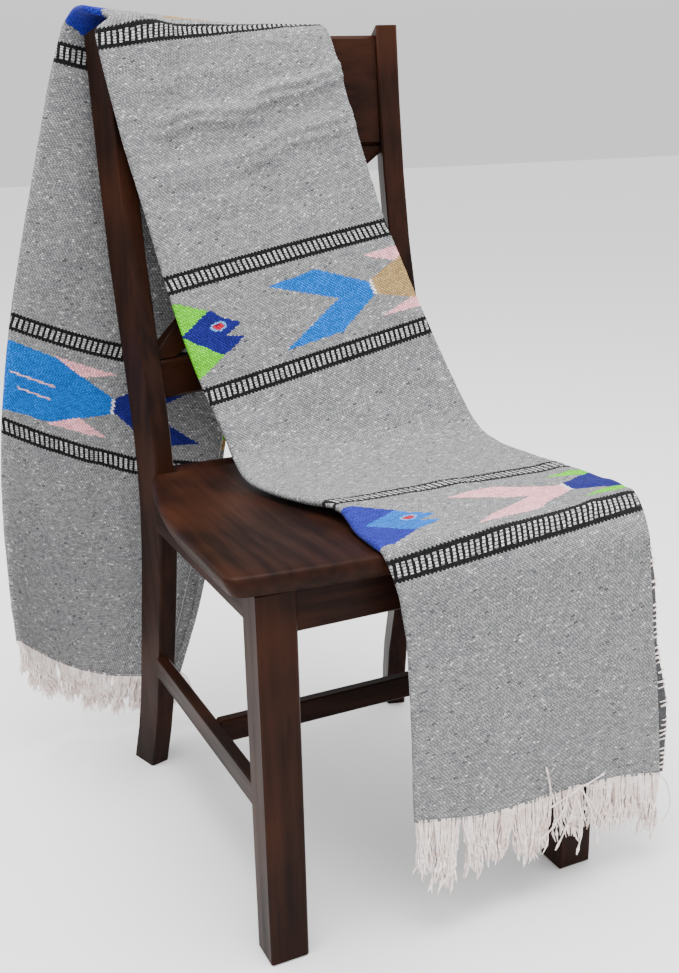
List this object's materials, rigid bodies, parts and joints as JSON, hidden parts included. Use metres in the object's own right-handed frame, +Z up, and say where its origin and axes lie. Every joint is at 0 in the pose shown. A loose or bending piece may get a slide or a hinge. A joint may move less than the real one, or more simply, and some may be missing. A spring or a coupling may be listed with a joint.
{
  "type": "serape draped over a wooden chair",
  "caption": "Mexican serape folded lengthwise, draped over the back and seat of a dark wooden X-back chair, with fringed ends hanging free.",
  "frame": {"origin": "on the floor, under the middle of the bounding box of the chair and the cloth together", "axes": "+Z up, -Y the way the chair faces, +X to the right of a viewer who stands in front of the chair"},
  "size_m": [0.6504, 0.6298, 1.0022],
  "materials": {
    "dark_wood": "satin lacquer",
    "grey_weave": "matt woven",
    "grey_weave_inside": "matt woven",
    "fringe_yarn": "matt twisted yarn"
  },
  "bodies": {
    "root": {"apron_back": "dark_wood", "apron_front": "dark_wood", "apron_left": "dark_wood", "apron_right": "dark_wood", "brace_rising_left": "dark_wood", "brace_rising_right": "dark_wood", "cross_stretcher": "dark_wood", "front_leg_left": "dark_wood", "front_leg_right": "dark_wood", "low_rail": "dark_wood", "rear_post_left": "dark_wood", "rear_post_right": "dark_wood", "seat": "dark_wood", "side_stretcher_left": "dark_wood", "side_stretcher_right": "dark_wood", "top_rail": "dark_wood", "serape_outer_layers": "grey_weave", "serape_inner_layers": "grey_weave_inside", "fringe_front": "fringe_yarn", "fringe_back": "fringe_yarn"}
  },
  "joints": []
}
